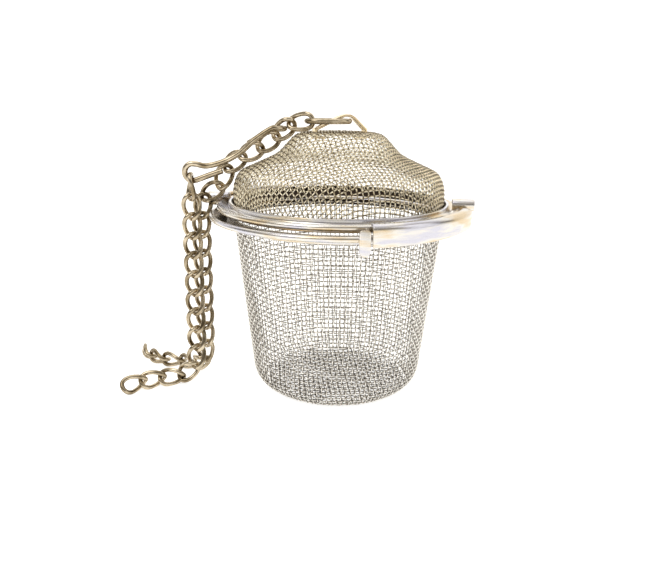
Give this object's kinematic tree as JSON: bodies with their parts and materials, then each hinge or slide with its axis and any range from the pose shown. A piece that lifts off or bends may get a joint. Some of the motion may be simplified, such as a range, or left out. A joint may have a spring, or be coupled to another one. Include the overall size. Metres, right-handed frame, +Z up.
{
  "type": "tea infuser",
  "caption": "Twist-lock mesh tea infuser: tapered woven steel basket, domed lid with finger tabs, lid loop, curb chain and S-hook.",
  "frame": {"origin": "centre of the basket's flat base, on the table", "axes": "+Z up through the basket and lid, -Y towards the viewer, and the chain hangs on the -X side"},
  "size_m": [0.0586, 0.043, 0.046],
  "materials": {
    "polished_steel": "polished",
    "woven_steel": "satin",
    "chain_steel": "polished"
  },
  "bodies": {
    "basket": {"basket_mesh": "woven_steel", "basket_rim": "polished_steel"},
    "lid": {"lid_mesh": "woven_steel", "lid_rim": "polished_steel", "lid_loop": "polished_steel"},
    "ring": {"chain_ring": "chain_steel"},
    "hook": {"s_hook": "chain_steel"},
    "chain_link_01": {"chain_link_01": "chain_steel"},
    "chain_link_02": {"chain_link_02": "chain_steel"},
    "chain_link_03": {"chain_link_03": "chain_steel"},
    "chain_link_04": {"chain_link_04": "chain_steel"},
    "chain_link_05": {"chain_link_05": "chain_steel"},
    "chain_link_06": {"chain_link_06": "chain_steel"},
    "chain_link_07": {"chain_link_07": "chain_steel"},
    "chain_link_08": {"chain_link_08": "chain_steel"},
    "chain_link_09": {"chain_link_09": "chain_steel"},
    "chain_link_10": {"chain_link_10": "chain_steel"},
    "chain_link_11": {"chain_link_11": "chain_steel"},
    "chain_link_12": {"chain_link_12": "chain_steel"},
    "chain_link_13": {"chain_link_13": "chain_steel"},
    "chain_link_14": {"chain_link_14": "chain_steel"},
    "chain_link_15": {"chain_link_15": "chain_steel"},
    "chain_link_16": {"chain_link_16": "chain_steel"},
    "chain_link_17": {"chain_link_17": "chain_steel"},
    "chain_link_18": {"chain_link_18": "chain_steel"},
    "chain_link_19": {"chain_link_19": "chain_steel"},
    "chain_link_20": {"chain_link_20": "chain_steel"},
    "chain_link_21": {"chain_link_21": "chain_steel"},
    "hook_link_01": {"hook_link_01": "chain_steel"},
    "hook_link_02": {"hook_link_02": "chain_steel"},
    "hook_link_03": {"hook_link_03": "chain_steel"},
    "hook_link_04": {"hook_link_04": "chain_steel"},
    "hook_link_05": {"hook_link_05": "chain_steel"},
    "hook_link_06": {"hook_link_06": "chain_steel"},
    "hook_link_07": {"hook_link_07": "chain_steel"},
    "hook_link_08": {"hook_link_08": "chain_steel"},
    "hook_link_09": {"hook_link_09": "chain_steel"},
    "hook_link_10": {"hook_link_10": "chain_steel"},
    "hook_link_11": {"hook_link_11": "chain_steel"},
    "hook_link_12": {"hook_link_12": "chain_steel"},
    "hook_link_13": {"hook_link_13": "chain_steel"},
    "hook_link_14": {"hook_link_14": "chain_steel"}
  },
  "joints": [
    {"name": "lid_turn", "type": "hinge", "parent": "basket", "child": "lid", "pos_m": [0, 0, 0], "axis": [0, 0, 1], "range_deg": [0, 75]},
    {"name": "ring_swing", "type": "hinge", "parent": "lid", "child": "ring", "pos_m": [0.00139, 0.00045, 0.04435], "axis": [-0.309, 0.9511, 0], "range_deg": [0, 70]},
    {"name": "chain_link_01_swing", "type": "hinge", "parent": "ring", "child": "chain_link_01", "pos_m": [-0.00517, -0.00168, 0.04435], "axis": [-0.309, 0.9511, 0], "range_deg": [0, 20]},
    {"name": "chain_link_02_swing", "type": "hinge", "parent": "chain_link_01", "child": "chain_link_02", "pos_m": [-0.00777, -0.00105, 0.04398], "axis": [0.1026, 0.9914, -0.0815], "range_deg": [0, 20]},
    {"name": "chain_link_03_swing", "type": "hinge", "parent": "chain_link_02", "child": "chain_link_03", "pos_m": [-0.0102, -0.00097, 0.0419], "axis": [0.0743, 0.992, -0.1022], "range_deg": [0, 20]},
    {"name": "chain_link_04_swing", "type": "hinge", "parent": "chain_link_03", "child": "chain_link_04", "pos_m": [-0.01279, -0.00097, 0.04001], "axis": [0, 1, 0], "range_deg": [0, 20]},
    {"name": "chain_link_05_swing", "type": "hinge", "parent": "chain_link_04", "child": "chain_link_05", "pos_m": [-0.01571, -0.00097, 0.03871], "axis": [0.0753, 0.9929, -0.0926], "range_deg": [0, 20]},
    {"name": "chain_link_06_swing", "type": "hinge", "parent": "chain_link_05", "child": "chain_link_06", "pos_m": [-0.01819, -0.00097, 0.03669], "axis": [0.097, 0.9945, -0.0387], "range_deg": [0, 20]},
    {"name": "chain_link_07_swing", "type": "hinge", "parent": "chain_link_06", "child": "chain_link_07", "pos_m": [-0.01938, -0.00097, 0.03372], "axis": [0.0467, 0.9963, -0.0717], "range_deg": [0, 20]},
    {"name": "chain_link_08_swing", "type": "hinge", "parent": "chain_link_07", "child": "chain_link_08", "pos_m": [-0.02206, -0.00097, 0.03197], "axis": [0.0577, 0.9983, -0.0102], "range_deg": [0, 15]},
    {"name": "chain_link_09_swing", "type": "hinge", "parent": "chain_link_08", "child": "chain_link_09", "pos_m": [-0.02262, -0.00097, 0.02882], "axis": [-0.0578, -0.9983, 0.0005], "range_deg": [-15, 15]},
    {"name": "chain_link_10_swing", "type": "hinge", "parent": "chain_link_09", "child": "chain_link_10", "pos_m": [-0.02264, -0.00097, 0.02562], "axis": [0.0578, 0.9983, 0.0002], "range_deg": [-15, 15]},
    {"name": "chain_link_11_swing", "type": "hinge", "parent": "chain_link_10", "child": "chain_link_11", "pos_m": [-0.02263, -0.00097, 0.02242], "axis": [-0.0578, -0.9983, -0.0001], "range_deg": [-15, 15]},
    {"name": "chain_link_12_swing", "type": "hinge", "parent": "chain_link_11", "child": "chain_link_12", "pos_m": [-0.02263, -0.00097, 0.01922], "axis": [0.0578, 0.9983, 0], "range_deg": [-15, 15]},
    {"name": "chain_link_13_swing", "type": "hinge", "parent": "chain_link_12", "child": "chain_link_13", "pos_m": [-0.02263, -0.00097, 0.01602], "axis": [-0.0578, -0.9983, 0], "range_deg": [-15, 15]},
    {"name": "chain_link_14_swing", "type": "hinge", "parent": "chain_link_13", "child": "chain_link_14", "pos_m": [-0.02263, -0.00097, 0.01282], "axis": [0.0579, 0.9983, -0.0088], "range_deg": [-15, 15]},
    {"name": "chain_link_15_swing", "type": "hinge", "parent": "chain_link_14", "child": "chain_link_15", "pos_m": [-0.0226, -0.00101, 0.00962], "axis": [-0.0579, -0.9983, -0.0052], "range_deg": [-15, 15]},
    {"name": "chain_link_16_swing", "type": "hinge", "parent": "chain_link_15", "child": "chain_link_16", "pos_m": [-0.02262, -0.00099, 0.00642], "axis": [0.0894, 0.9756, 0.2003], "range_deg": [0, 20]},
    {"name": "chain_link_17_swing", "type": "hinge", "parent": "chain_link_16", "child": "chain_link_17", "pos_m": [-0.0231, -0.00031, 0.00333], "axis": [0.3562, 0.8027, 0.4783], "range_deg": [0, 5]},
    {"name": "chain_link_18_swing", "type": "hinge", "parent": "chain_link_17", "child": "chain_link_18", "pos_m": [-0.02492, 0.00159, 0.00151], "axis": [0.4129, 0.9108, 0], "range_deg": [0, 10]},
    {"name": "chain_link_19_swing", "type": "hinge", "parent": "chain_link_18", "child": "chain_link_19", "pos_m": [-0.02783, 0.00291, 0.00148], "axis": [0.1801, 0.9837, 0], "range_deg": [0, 20]},
    {"name": "chain_link_20_swing", "type": "hinge", "parent": "chain_link_19", "child": "chain_link_20", "pos_m": [-0.03098, 0.00348, 0.00148], "axis": [0.4948, 0.869, 0], "range_deg": [0, 20]},
    {"name": "chain_link_21_swing", "type": "hinge", "parent": "chain_link_20", "child": "chain_link_21", "pos_m": [-0.03376, 0.00507, 0.00148], "axis": [0.7619, 0.6476, 0], "range_deg": [0, 20]},
    {"name": "hook_link_01_swing", "type": "hinge", "parent": "hook", "child": "hook_link_01", "pos_m": [-0.02351, -0.00388, 0.03594], "axis": [0, -1, 0], "range_deg": [-30, 8]},
    {"name": "hook_link_02_swing", "type": "hinge", "parent": "hook_link_01", "child": "hook_link_02", "pos_m": [-0.02351, -0.00388, 0.03232], "axis": [0, 1, 0], "range_deg": [-15, 15]},
    {"name": "hook_link_03_swing", "type": "hinge", "parent": "hook_link_02", "child": "hook_link_03", "pos_m": [-0.02351, -0.00388, 0.02912], "axis": [0, -1, 0], "range_deg": [-15, 15]},
    {"name": "hook_link_04_swing", "type": "hinge", "parent": "hook_link_03", "child": "hook_link_04", "pos_m": [-0.02351, -0.00388, 0.02592], "axis": [0, 1, 0], "range_deg": [-15, 15]},
    {"name": "hook_link_05_swing", "type": "hinge", "parent": "hook_link_04", "child": "hook_link_05", "pos_m": [-0.02351, -0.00388, 0.02272], "axis": [0, -1, 0], "range_deg": [-15, 15]},
    {"name": "hook_link_06_swing", "type": "hinge", "parent": "hook_link_05", "child": "hook_link_06", "pos_m": [-0.02351, -0.00388, 0.01952], "axis": [0, 1, 0], "range_deg": [-15, 15]},
    {"name": "hook_link_07_swing", "type": "hinge", "parent": "hook_link_06", "child": "hook_link_07", "pos_m": [-0.02351, -0.00388, 0.01632], "axis": [0, -1, 0], "range_deg": [-15, 15]},
    {"name": "hook_link_08_swing", "type": "hinge", "parent": "hook_link_07", "child": "hook_link_08", "pos_m": [-0.02351, -0.00388, 0.01312], "axis": [0, 1, 0], "range_deg": [-15, 15]},
    {"name": "hook_link_09_swing", "type": "hinge", "parent": "hook_link_08", "child": "hook_link_09", "pos_m": [-0.0235, -0.00388, 0.00992], "axis": [0, -1, 0], "range_deg": [-15, 15]},
    {"name": "hook_link_10_swing", "type": "hinge", "parent": "hook_link_09", "child": "hook_link_10", "pos_m": [-0.02348, -0.00388, 0.00672], "axis": [0, 1, 0], "range_deg": [-15, 15]},
    {"name": "hook_link_11_swing", "type": "hinge", "parent": "hook_link_10", "child": "hook_link_11", "pos_m": [-0.02391, -0.00388, 0.00355], "axis": [-0.0043, 1, -0.0037], "range_deg": [0, 12]},
    {"name": "hook_link_12_swing", "type": "hinge", "parent": "hook_link_11", "child": "hook_link_12", "pos_m": [-0.02632, -0.0039, 0.00144], "axis": [-0.2148, 0.9767, 0], "range_deg": [0, 5]},
    {"name": "hook_link_13_swing", "type": "hinge", "parent": "hook_link_12", "child": "hook_link_13", "pos_m": [-0.02944, -0.00458, 0.00148], "axis": [-0.4974, 0.8675, 0], "range_deg": [0, 20]},
    {"name": "hook_link_14_swing", "type": "hinge", "parent": "hook_link_13", "child": "hook_link_14", "pos_m": [-0.03222, -0.00617, 0.00148], "axis": [-0.6764, 0.7366, 0], "range_deg": [0, 20]},
    {"name": "hook_swing", "type": "hinge", "parent": "chain_link_02", "child": "hook", "pos_m": [-0.00879, -0.00102, 0.04311], "axis": [0, 1, 0], "range_deg": [0, 35]}
  ]
}
